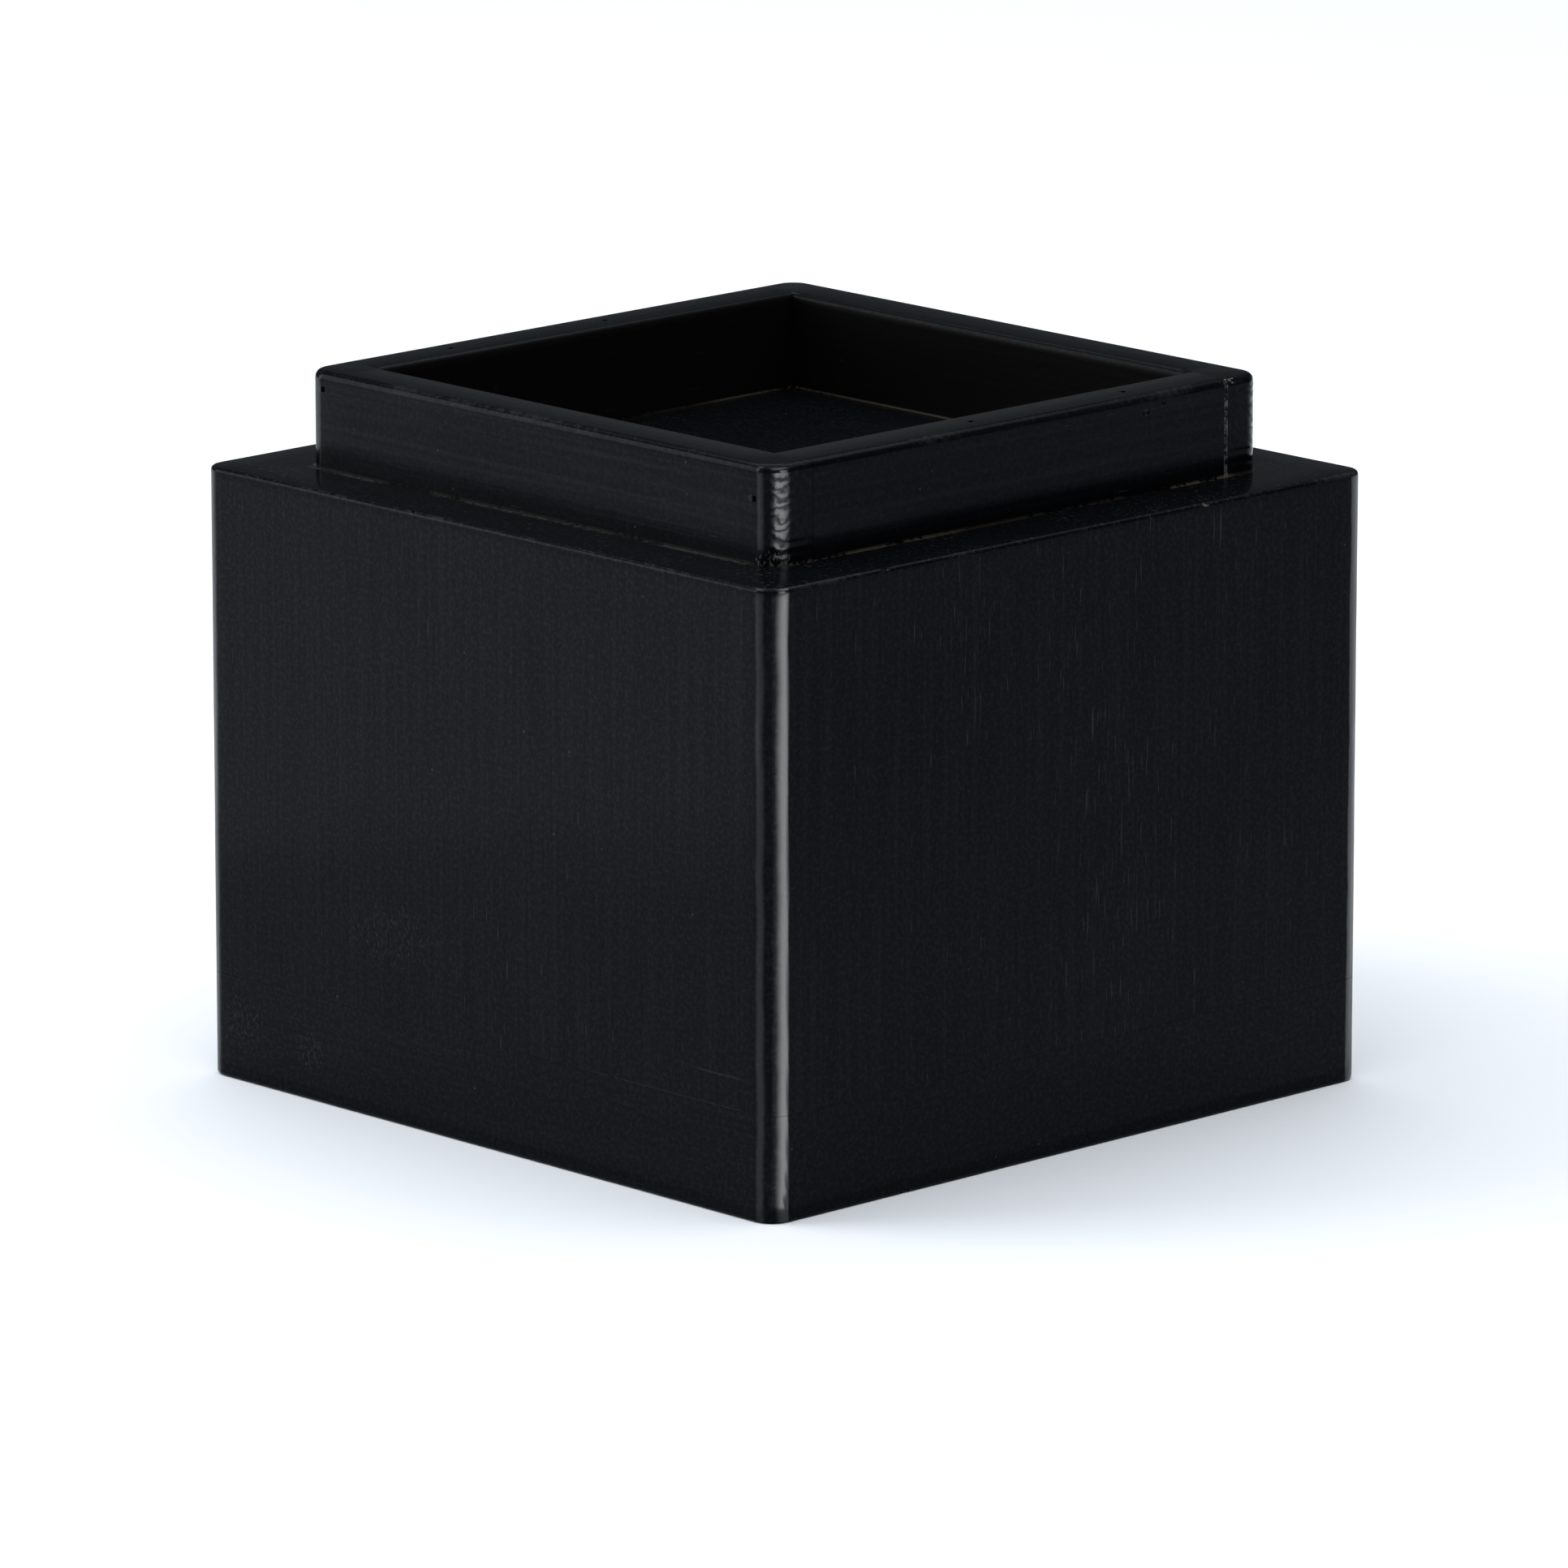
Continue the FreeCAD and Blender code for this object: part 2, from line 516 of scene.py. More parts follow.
def build_sprayed_coat(name):
    """Fine texture of sprayed lacquer, broad unevenness in its gloss, and specks of dust."""
    nodes, entry, leave = new_group(name, ["Vector"], [], ["Peel", "Mottle", "Flecks", "Specks"])
    fleck_scale, peel_scale, mottle_scale, speck_scale = 1900, 900, 45, 190
    speck_core, speck_rim = 0.018, 0.038
    flecks = nodes.ramp(nodes.noise(entry["Vector"], fleck_scale, 2.0), 0.42, 0.72)
    nodes.link(flecks, leave["Flecks"])
    nodes.link(nodes.noise(entry["Vector"], peel_scale, 2.0), leave["Peel"])
    nodes.link(nodes.noise(entry["Vector"], mottle_scale, 3.0), leave["Mottle"])
    cells = nodes.add("ShaderNodeTexVoronoi", {"Vector": entry["Vector"], "Scale": speck_scale}, feature="F1")
    nodes.link(nodes.fall(cells.outputs["Distance"], speck_core, speck_rim), leave["Specks"])
    return nodes.tree


def build_edge_line(name):
    """A line of built-up lacquer on each rounded upright edge, by the angle round the edge, and its beads."""
    values = ["Flat", "Round", "Start", "Full", "Fade", "End", "Beads"]
    nodes, entry, leave = new_group(name, ["Vector"], values, ["Mask"])
    wobble_scale, wobble_angle = 170, 0.20
    bead_step, bead_slant = 1.3 * MILLIMETRE, -6.0
    drift_scale, drift_reach = 620, 15.0
    x, y, z = nodes.axes(entry["Vector"])
    past_x = nodes.minus(nodes.absolute(x), entry["Flat"])
    past_y = nodes.minus(nodes.absolute(y), entry["Flat"])
    squares = nodes.times_plus(past_x, past_x, nodes.times(past_y, past_y))
    depth = nodes.minus(entry["Round"], nodes.math("SQRT", squares))
    on_side = nodes.fall(depth, 0.25 * MILLIMETRE, 0.45 * MILLIMETRE)
    wobble = nodes.minus(nodes.noise(entry["Vector"], wobble_scale, 3.0), 0.5)
    angle = nodes.times_plus(wobble, wobble_angle, nodes.math("ARCTAN2", past_y, past_x))
    rise = nodes.ramp(angle, entry["Start"], entry["Full"])
    fall = nodes.fall(angle, entry["Fade"], entry["End"])
    line = nodes.times(nodes.times(rise, fall), on_side)
    middle = nodes.times(nodes.math("ADD", entry["Start"], entry["End"]), 0.5)
    apart = nodes.absolute(nodes.minus(angle, middle))
    drift = nodes.times(nodes.noise(entry["Vector"], drift_scale, 3.0), drift_reach)
    slant = nodes.times_plus(apart, bead_slant, drift)
    phase = nodes.times_plus(z, 2 * math.pi / bead_step, slant)
    gap = nodes.fall(nodes.math("SINE", phase), -1.0, 0.9)
    kept = nodes.minus(1.0, nodes.times(gap, entry["Beads"]))
    nodes.link(nodes.times(line, kept), leave["Mask"])
    return nodes.tree


def build_arris_wear(name):
    """Broken wear along a rounded arris, from the depths below its top and inside its outline."""
    nodes, entry, leave = new_group(name, ["Vector"], ["Below", "Inside", "Round"], ["Mask"])
    broad_scale, broad_share = 90, 0.6
    fine_scale, fine_share = 1300, 0.5
    depth = nodes.math("ADD", entry["Below"], entry["Inside"])
    line = nodes.fall(nodes.math("DIVIDE", depth, entry["Round"]), 0.60, 1.05)
    fine = nodes.times(nodes.noise(entry["Vector"], fine_scale, 2.0), fine_share)
    both = nodes.times_plus(nodes.noise(entry["Vector"], broad_scale, 2.0), broad_share, fine)
    nodes.link(nodes.times(line, nodes.ramp(both, 0.52, 0.70)), leave["Mask"])
    return nodes.tree


def build_seam_dust(name):
    """Broken, dusty line along a seam, from the distance to it."""
    nodes, entry, leave = new_group(name, ["Vector"], ["Distance", "Width", "Cover"], ["Mask"])
    fine_scale, fine_share = 1600, 0.6
    broad_scale, broad_share = 130, 0.7
    bare_limit = 1.15
    share = nodes.math("DIVIDE", nodes.absolute(entry["Distance"]), entry["Width"])
    line = nodes.fall(share, 0.35, 1.0)
    fine = nodes.times(nodes.noise(entry["Vector"], fine_scale, 2.0), fine_share)
    both = nodes.times_plus(nodes.noise(entry["Vector"], broad_scale, 1.0), broad_share, fine)
    limit = nodes.minus(bare_limit, entry["Cover"])
    specks = nodes.ramp(nodes.minus(both, limit), 0.0, 0.14)
    nodes.link(nodes.times(line, specks), leave["Mask"])
    return nodes.tree


def build_speckled_patch(name):
    """Short specks in a patch round a point, thinning out towards its rim: rub marks, and at the rails' front
    corner a painted reflection.
    """
    nodes, entry, leave = new_group(name, ["Vector", "Centre", "Spread"], [], ["Mask"])
    fleck_size = (2800, 2800, 1500)
    rim_limit, middle_share, soft_rim = 0.84, 0.32, 0.10
    offset = nodes.vector_math("SUBTRACT", entry["Vector"], entry["Centre"])[0]
    share = nodes.vector_math("DIVIDE", offset, entry["Spread"])[0]
    away = nodes.vector_math("LENGTH", share)["Value"]
    limit = nodes.times_plus(nodes.fall(away, 0.2, 1.0), -middle_share, rim_limit)
    flecks = nodes.stretched_noise(entry["Vector"], fleck_size, 2.0)
    nodes.link(nodes.ramp(nodes.minus(flecks, limit), 0.0, soft_rim), leave["Mask"])
    return nodes.tree


def build_bare_spot(name):
    """A ragged spot round a point where the lacquer is gone."""
    nodes, entry, leave = new_group(name, ["Vector", "Centre"], ["Radius"], ["Mask"])
    ragged_scale, raggedness = 1800, 0.9
    away = nodes.vector_math("DISTANCE", entry["Vector"], entry["Centre"])["Value"]
    share = nodes.math("DIVIDE", away, entry["Radius"])
    ragged = nodes.times_plus(nodes.noise(entry["Vector"], ragged_scale, 2.0), raggedness, share)
    nodes.link(nodes.fall(ragged, 1.15, 1.45), leave["Mask"])
    return nodes.tree


class Coat(Nodes):
    """The nodes of a lacquer, which all start from the place on the piece."""

    def __init__(self, tree):
        super().__init__(tree)
        self.position = self.add("ShaderNodeTexCoord").outputs["Object"]
        self.x, self.y, self.z = self.axes(self.position)
        self.across = self.larger(self.absolute(self.x), self.absolute(self.y))

    def group(self, name, build, **inputs):
        """Places a node group, built on its first use, with its own values."""
        tree = bpy.data.node_groups.get(name) or build(name)
        return self.add("ShaderNodeGroup", {"Vector": self.position, **inputs}, node_tree=tree).outputs

    def seam(self, distance, width, cover):
        """The mask of one dusty seam."""
        return self.group("Seam dust", build_seam_dust, Distance=distance, Width=width, Cover=cover)["Mask"]

    def speckled_patch(self, centre, spread):
        """The mask of one patch of specks: rub marks, and at the rails' front corner a painted reflection."""
        return self.group("Speckled patch", build_speckled_patch, Centre=centre, Spread=spread)["Mask"]

    def bare_spots(self, chips):
        """The mask of all the bare spots round the chips of a piece."""
        whole = 0.0
        for place, radius in chips:
            spot = self.group("Bare spot", build_bare_spot, Centre=place, Radius=radius)["Mask"]
            whole = self.larger(whole, spot)
        return whole

    def arris_wear(self, top, half, round_off):
        """The mask of the wear along the top arris of a square piece."""
        below = self.absolute(self.minus(top, self.z))
        inside = self.absolute(self.minus(half, self.across))
        return self.group("Arris wear", build_arris_wear, Below=below, Inside=inside, Round=round_off)["Mask"]

    def edge_lines(self, half, round_off, lines):
        """The built-up lacquer of the upright edges: each line has four angles, a share and beads."""
        total = 0.0
        for *angles, share, beads in lines:
            inputs = dict(zip(("Start", "Full", "Fade", "End"), map(math.radians, angles)))
            inputs.update({"Flat": half - round_off, "Round": round_off, "Beads": beads})
            mask = self.group("Edge line", build_edge_line, **inputs)["Mask"]
            total = self.times_plus(mask, share, total)
        return total

    def outline_distance(self, half, round_off):
        """How far a place is outside a square with rounded corners, seen from above."""
        flat = half - round_off
        past_x = self.minus(self.absolute(self.x), flat)
        past_y = self.minus(self.absolute(self.y), flat)
        corner_x = self.math("POWER", self.larger(past_x, 0.0), 2.0)
        corner_y = self.math("POWER", self.larger(past_y, 0.0), 2.0)
        outside = self.math("SQRT", self.math("ADD", corner_x, corner_y))
        inside = self.math("MINIMUM", self.larger(past_x, past_y), 0.0)
        return self.minus(self.math("ADD", outside, inside), round_off)

    def pore_share(self, amount):
        """How open the pores are: more on the right and left sides than in front, fewer towards the edges."""
        front_share, at_edge = 0.65, 0.55
        out_x = self.absolute(self.x)
        out_y = self.absolute(self.y)
        from_middle = self.math("MINIMUM", out_x, out_y)
        side = self.times_plus(self.math("GREATER_THAN", out_x, out_y), 1.0 - front_share, front_share)
        return self.times(self.ramp(from_middle, 0.015, 0.045, amount, at_edge * amount), side)

    def foot_share(self):
        """How much dust lies along the frame's foot: little in front, more at both ends of the right side."""
        front_loss = 0.7
        past_joint = RECESS_HALF + 2 * MILLIMETRE
        near_end = self.ramp(self.y, -0.014, -0.006, 0.75, 0.0)
        far_end = self.ramp(self.y, 0.017, 0.024, 0.25, 1.0)
        far_end = self.times(far_end, self.ramp(self.y, RECESS_HALF, past_joint, 1.0, 0.2))
        in_front = self.math("LESS_THAN", self.y, -FRAME_HALF + 0.5 * MILLIMETRE)
        return self.times(self.larger(near_end, far_end), self.times_plus(in_front, -front_loss, 1.0))


def opaque(colour):
    """A colour property with full alpha."""
    return (*colour, 1.0)


def new_material(name):
    """A material with an empty node tree."""
    material = bpy.data.materials.new(name)
    material.use_nodes = True
    material.node_tree.nodes.clear()
    return material


def lacquer_material(name, finish, grain_turn, pore_amount, streak_share, edges, marks, hairline=None):
    """Black lacquer over timber, with its grain turned from upright.

    marks gives the wear, and on the rails a painted reflection, each a mask, a share and a colour, and
    hairline a fine dark line.
    """
    pore_cover, speck_cover, hairline_cover = 0.75, 0.8, 0.85
    light_polish = 2.6 * finish.polish
    grain_rough, mottle_rough, worn_rough = 0.06, 0.08, 0.3
    smoothest = finish.roughness - 0.07
    grain_height, peel_height = 0.5, 0.25
    relief = {"Strength": 0.25, "Distance": 0.12 * MILLIMETRE}
    material = new_material(name)
    coat = Coat(material.node_tree)
    along = coat.add("ShaderNodeMapping", {"Vector": coat.position, "Rotation": grain_turn}).outputs[0]
    pores = coat.group("Open pores", build_open_pores, Vector=along, Amount=coat.pore_share(pore_amount))
    spray = coat.group("Sprayed coat", build_sprayed_coat)
    streaks = coat.ramp(pores["Grain"], 0.40, 0.75)
    flecks = coat.times(spray["Flecks"], 1.0 - streak_share)
    light = coat.times_plus(streaks, streak_share, flecks, clamp=True)
    skin = coat.times_plus(light, light_polish, coat.times(spray["Mottle"], finish.polish))
    skin = coat.times(skin, coat.minus(1.0, pores["Pores"]))
    skin = coat.times_plus(coat.edge_lines(*edges), finish.edge_polish, skin)
    colour = coat.mix(light, opaque(finish.lacquer), opaque(finish.fleck))
    colour = coat.mix(coat.times(pores["Pores"], pore_cover), colour, opaque(finish.pore))
    colour = coat.mix(coat.times(spray["Specks"], speck_cover), colour, opaque(finish.scuffed))
    worn = 0.0
    for mask, share, tint in marks(coat):
        mask = coat.times(mask, share)
        colour = coat.mix(mask, colour, opaque(tint))
        worn = coat.larger(worn, mask)
    if hairline is not None:
        line = hairline(coat)
        skin = coat.times(skin, coat.minus(1.0, line))
        colour = coat.mix(coat.times(line, hairline_cover), colour, (0, 0, 0, 1))
    rough = coat.times_plus(pores["Grain"], grain_rough, smoothest)
    rough = coat.times_plus(spray["Mottle"], mottle_rough, rough)
    rough = coat.times_plus(worn, worn_rough, rough, clamp=True)
    height = coat.times_plus(spray["Peel"], peel_height, coat.times(pores["Grain"], grain_height))
    bump = coat.add("ShaderNodeBump", {"Height": height, **relief})
    shader = coat.add(
        "ShaderNodeBsdfPrincipled",
        {
            "Base Color": colour, "Roughness": rough, "Normal": bump.outputs["Normal"],
            "Coat Weight": skin, "Coat Roughness": finish.polish_roughness,
            "Specular IOR Level": finish.gloss, "Specular Tint": opaque(finish.gloss_tint),
        },
    )
    coat.add("ShaderNodeOutputMaterial", {"Surface": shader.outputs[0]})
    return material


# Half side, round and lines of built-up lacquer of the upright edges
# Each line: four angles in degrees from the X side, from its start to its end, a share and its beads
BODY_EDGES = (BODY_HALF, BODY_ROUND, ((-2, 5, 15, 37, 1.0, 0.0), (57, 70, 74, 87, 0.48, 0.0)))
FRAME_EDGES = (FRAME_HALF, FRAME_ROUND, ((0, 30, 38, 56, 1.0, 0.80), (64, 75, 78, 90, 0.42, 0.0)))

# Places of the chips and their radii
BLOCK_CHIPS = (
    ((BODY_HALF, 0.0220, BLOCK_TOP), 0.0006),
    ((BODY_HALF, -0.0310, BLOCK_TOP), 0.0004),
    ((-0.0120, -BODY_HALF, BLOCK_TOP), 0.0004),
)
BOARD_CHIPS = (((BODY_HALF, -0.0280, 0.0003), 0.0005),)
RAIL_CHIPS = (
    ((FRAME_HALF, 0.0208, 0.0858), 0.0004),
    ((FRAME_HALF, 0.0238, 0.0866), 0.0003),
)


# Pieces

def model_body(name, low, high, arris_height, shape, chips):
    """A square piece of the body: rounded corners, one rounded arris and a glue line, sanded and chipped."""
    piece = begin_block(name, low, high)
    round_off = shape.body_corner_round
    select_edges(piece, lambda a, b: is_upright(a, b, BODY_HALF))
    bevel(round_off, CORNER_SEGMENTS)
    select_edges(piece, lambda a, b: is_outline(a, b, arris_height, BODY_HALF, round_off))
    bevel(shape.body_arris_round, ARRIS_SEGMENTS)
    select_edges(piece, lambda a, b: is_outline(a, b, BOARD_TOP, BODY_HALF, round_off))
    bevel(shape.glue_line_ease, 1)
    flat = BODY_HALF - round_off
    rows = even_places(-flat, flat, shape.cut_step)
    cut_loops(0, rows)
    cut_loops(1, rows)
    cut_loops(2, even_places(low.z, high.z, shape.cut_step))
    sink_sides(piece, BODY_HALF, round_off, lambda point: sanding(point, shape))
    knock_chips(piece, chips)
    return piece


class RISER_OT_block(Operator):
    """Models the body block with its rounded edges and finishes it"""

    bl_idname = "riser.block"
    bl_label = "Body Block"

    def execute(self, context):
        shape = context.scene.riser_shape
        block = model_body("timber_block", BLOCK_LOW, BLOCK_HIGH, BLOCK_TOP, shape, BLOCK_CHIPS)
        finish_piece(block, self.material(context.scene.riser_finish), "body_block")
        return {"FINISHED"}

    def material(self, finish):
        """Upright grain, dusty seams where the rails stand on it, and a few rub marks."""
        def marks(coat):
            on_top = coat.ramp(coat.z, BLOCK_TOP - 0.3 * MILLIMETRE, BLOCK_TOP - 0.05 * MILLIMETRE)
            outer = coat.outline_distance(FRAME_HALF, FRAME_ROUND)
            inner = coat.minus(coat.across, RECESS_HALF)
            outer_dust = coat.times(coat.seam(outer, 0.45 * MILLIMETRE, 0.62), on_top)
            crumbs = coat.times(coat.seam(outer, 1.3 * MILLIMETRE, 0.50), on_top)
            in_front = coat.math("LESS_THAN", coat.y, -FRAME_HALF)
            rub_place = (-0.0160, -BODY_HALF, 0.0235)
            return [
                (coat.seam(inner, 0.9 * MILLIMETRE, 0.75), on_top, finish.thin_coat),
                (outer_dust, coat.foot_share(), finish.dust),
                (coat.arris_wear(BLOCK_TOP, BODY_HALF, 0.6 * MILLIMETRE), 0.7, finish.rubbed),
                (crumbs, in_front, finish.scuffed),
                (coat.speckled_patch(rub_place, (0.020, 0.006, 0.009)), 0.22, finish.scuffed),
                (self.grit(coat), on_top, finish.scuffed),
                (self.base_line(coat), 0.25, finish.scuffed),
                (coat.bare_spots(BLOCK_CHIPS), 1.0, finish.dust),
            ]

        return lacquer_material("block_lacquer", finish, GRAIN_UP, 1.0, 0.30, BODY_EDGES, marks)

    def grit(self, coat):
        """Fine grit on the flat top, in clusters, with more of it on the ledge."""
        cluster_scale, grit_scale = 160, 1500
        clusters = coat.ramp(coat.noise(coat.position, cluster_scale, 2.0), 0.35, 0.70, 0.08, -0.04)
        fine = coat.minus(coat.noise(coat.position, grit_scale, 2.0), clusters)
        on_ledge = coat.ramp(coat.across, RECESS_HALF, FRAME_HALF, 0.10, 0.35)
        return coat.times(coat.ramp(fine, 0.60, 0.70), on_ledge)

    def base_line(self, coat):
        """The thin pale line on the front, near its right end, where the base board shows through."""
        second_line = BOARD_TOP + 3.9 * MILLIMETRE
        in_front = coat.math("LESS_THAN", coat.y, -BODY_HALF + MILLIMETRE)
        short_of_edge = coat.fall(coat.x, 0.0435, 0.0465)
        low = coat.seam(coat.minus(coat.z, BOARD_TOP), 0.22 * MILLIMETRE, 0.72)
        low = coat.times(low, coat.ramp(coat.x, 0.012, 0.022))
        high = coat.seam(coat.minus(coat.z, second_line), 0.2 * MILLIMETRE, 0.66)
        high = coat.times(high, coat.ramp(coat.x, 0.036, 0.039))
        return coat.times(coat.times(coat.larger(low, high), in_front), short_of_edge)


class RISER_OT_base_board(Operator):
    """Models the base board and finishes it"""

    bl_idname = "riser.base_board"
    bl_label = "Base Board"

    def execute(self, context):
        shape = context.scene.riser_shape
        board = model_body("timber_base_board", BOARD_LOW, BOARD_HIGH, BOARD_LOW.z, shape, BOARD_CHIPS)
        finish_piece(board, self.material(context.scene.riser_finish), "base_board")
        return {"FINISHED"}

    def material(self, finish):
        """A smoother coat than the block's, with rub marks near one corner."""
        def marks(coat):
            corner = coat.speckled_patch((-0.0435, -BODY_HALF, 0.0072), (0.0085, 0.006, 0.0075))
            beside = coat.speckled_patch((-0.0310, -BODY_HALF, 0.0062), (0.0055, 0.006, 0.0060))
            return [
                (coat.larger(corner, beside), 0.30, finish.scuffed),
                (coat.bare_spots(BOARD_CHIPS), 1.0, finish.dust),
            ]

        return lacquer_material("board_lacquer", finish, GRAIN_ALONG_X, 0.0, 0.25, BODY_EDGES, marks)


class RISER_OT_rails(Operator):
    """Models the frame of four butted rails, with its rounds running on across the joints"""

    bl_idname = "riser.rails"
    bl_label = "Frame Rails"

    def execute(self, context):
        shape = context.scene.riser_shape
        finish = context.scene.riser_finish
        ring = self.model_ring(shape)
        sink_sides(ring, FRAME_HALF, shape.frame_corner_round, lambda point: self.finish_depth(point, shape))
        knock_chips(ring, RAIL_CHIPS)
        long_finish = self.material("long_rail_lacquer", finish, GRAIN_ALONG_X)
        short_finish = self.material("short_rail_lacquer", finish, GRAIN_ALONG_Y)
        joint = RECESS_HALF - SLACK
        between = [((0, joint, 0), (0, 1, 0)), ((0, -joint, 0), (0, -1, 0))]
        rails = (
            ("front_long_rail", long_finish, [((0, -joint, 0), (0, 1, 0))]),
            ("rear_long_rail", long_finish, [((0, joint, 0), (0, -1, 0))]),
            ("left_short_rail", short_finish, [*between, ((0, 0, 0), (1, 0, 0))]),
            ("right_short_rail", short_finish, [*between, ((0, 0, 0), (-1, 0, 0))]),
        )
        for name, lacquer, cuts in rails:
            rail = self.cut_out(ring, cuts)
            cut_pin_holes(rail)
            rail.name = rail.data.name = f"timber_{name}"
            finish_piece(rail, lacquer, name)
        bpy.data.meshes.remove(ring.data)
        return {"FINISHED"}

    def model_ring(self, shape):
        """The whole frame as one ring: a block, opened in the middle, rounded and cut into loops."""
        loops_per_ridge = 5
        ring = begin_block("timber_frame", FRAME_LOW, FRAME_HIGH)
        for axis in (0, 1):
            cut_loops(axis, (-RECESS_HALF, RECESS_HALF))
        select_faces(ring, lambda middle: max(abs(middle.x), abs(middle.y)) < RECESS_HALF / 2)
        bpy.ops.mesh.delete(type="ONLY_FACE")
        select_edges(ring, lambda a, b: self.is_mouth(a, b, BLOCK_TOP) or self.is_mouth(a, b, RIM_TOP))
        bpy.ops.mesh.bridge_edge_loops()
        bpy.ops.mesh.select_all(action="SELECT")
        bpy.ops.mesh.normals_make_consistent(inside=False)
        round_off = shape.frame_corner_round
        select_edges(ring, lambda a, b: is_upright(a, b, FRAME_HALF))
        bevel(round_off, CORNER_SEGMENTS)
        select_edges(ring, lambda a, b: is_outline(a, b, RIM_TOP, FRAME_HALF, round_off))
        bevel(shape.rim_outer_round, RIM_SEGMENTS)
        select_edges(ring, lambda a, b: is_outline(a, b, BLOCK_TOP, FRAME_HALF, round_off))
        bevel(shape.glue_line_ease, 1)
        select_edges(ring, lambda a, b: self.is_mouth(a, b, RIM_TOP))
        bevel(shape.rim_inner_round, ARRIS_SEGMENTS)
        rows = even_places(-RECESS_HALF, RECESS_HALF, shape.cut_step)
        cut_loops(0, rows)
        cut_loops(1, rows)
        rim_start = RIM_TOP - shape.rim_outer_round
        cut_loops(2, even_places(BLOCK_TOP, rim_start, shape.ripple_pitch / loops_per_ridge))
        return ring

    def is_mouth(self, a, b, height):
        """Whether an edge is part of the recess's square mouth at one height."""
        ends = (a, b)
        level = all(abs(end.z - height) < SLACK for end in ends)
        return level and all(abs(max(abs(end.x), abs(end.y)) - RECESS_HALF) < SLACK for end in ends)

    def finish_depth(self, point, shape):
        """Hand sanding on the outside, and the ripple of the end grain at the long rails' ends."""
        wander_span, wander_turns = 3 * MILLIMETRE, 0.9
        level = outwards(point, FRAME_HALF, shape.frame_corner_round)[0]
        at_end = smooth_step(0.6, 0.8, abs(level.x))
        at_end *= smooth_step(RECESS_HALF, RECESS_HALF + MILLIMETRE, abs(point.y))
        turns = point.z / shape.ripple_pitch + wander_turns * noise.noise(point / wander_span)
        wave = 0.5 + 0.5 * math.sin(2 * math.pi * turns)
        return sanding(point, shape) + shape.ripple_depth * wave * at_end

    def cut_out(self, ring, cuts):
        """A copy of the ring with all beyond each plane cut away, and the cuts closed."""
        merge_distance = 1e-6
        make_active(ring)
        bpy.ops.object.duplicate()
        rail = bpy.context.object
        bpy.ops.object.mode_set(mode="EDIT")
        for place, normal in cuts:
            bpy.ops.mesh.select_all(action="SELECT")
            bpy.ops.mesh.bisect(
                plane_co=place, plane_no=normal, use_fill=True, clear_outer=True, threshold=merge_distance
            )
        bpy.ops.object.mode_set(mode="OBJECT")
        return rail

    def material(self, name, finish, grain_turn):
        """Level grain, thin coat inside the recess, a dusty foot, a worn joint and a painted reflection at
        the foot of the front corner.
        """
        def marks(coat):
            inside = coat.fall(coat.across, RECESS_HALF + 0.05 * MILLIMETRE, RECESS_HALF + 0.4 * MILLIMETRE)
            foot_dust = coat.seam(coat.minus(coat.z, BLOCK_TOP), 0.35 * MILLIMETRE, 0.60)
            joint = coat.seam(coat.minus(coat.y, RECESS_HALF), 0.36 * MILLIMETRE, 0.60)
            on_right = coat.math("GREATER_THAN", coat.x, FRAME_HALF - 0.5 * MILLIMETRE)
            corner = FRAME_HALF - 0.9 * MILLIMETRE
            rubbed_place = (corner, corner, 0.0818)
            # Painted reflection: pale specks at the foot of the front corner stand in for the highlight that
            # the ledge reflects there.
            painted_reflection_place = (corner, -corner, BLOCK_TOP - 0.5 * MILLIMETRE)
            near_rim = 0.3 * MILLIMETRE
            joint_top = (FRAME_HALF - near_rim, RECESS_HALF + 0.6 * MILLIMETRE, RIM_TOP - near_rim)
            joint_foot = (FRAME_HALF, RECESS_HALF, BLOCK_TOP + 0.3 * MILLIMETRE)
            joint_ends = coat.larger(
                coat.speckled_patch(joint_top, (0.0012, 0.0034, 0.0012)),
                coat.speckled_patch(joint_foot, (0.0012, 0.0012, 0.0012)),
            )
            return [
                (inside, 0.6, finish.thin_coat),
                (coat.arris_wear(RIM_TOP, FRAME_HALF, 1.1 * MILLIMETRE), 0.5, finish.rubbed),
                (foot_dust, coat.foot_share(), finish.dust),
                (coat.times(joint, on_right), 0.6, finish.bare_and_painted_reflection),
                (coat.speckled_patch(rubbed_place, (0.0006, 0.0006, 0.0030)), 0.6, finish.dust),
                # Painted reflection at the foot of the front corner, not wear: pale specks in place of the
                # reflected highlight.
                (coat.speckled_patch(painted_reflection_place, (0.0050, 0.0050, 0.0050)), 0.30, finish.bare_and_painted_reflection),
                (joint_ends, 0.4, finish.bare_and_painted_reflection),
                (coat.bare_spots(RAIL_CHIPS), 0.6, finish.dust),
                (coat.bare_spots(pin_wear()), 0.4, finish.scuffed),
            ]

        def hairline(coat):
            apart = coat.absolute(coat.minus(coat.absolute(coat.y), RECESS_HALF))
            line = coat.fall(apart, 0.03 * MILLIMETRE, 0.14 * MILLIMETRE)
            return coat.times(line, coat.math("GREATER_THAN", coat.absolute(coat.x), RECESS_HALF))

        return lacquer_material(name, finish, grain_turn, 0.4, 0.50, FRAME_EDGES, marks, hairline)


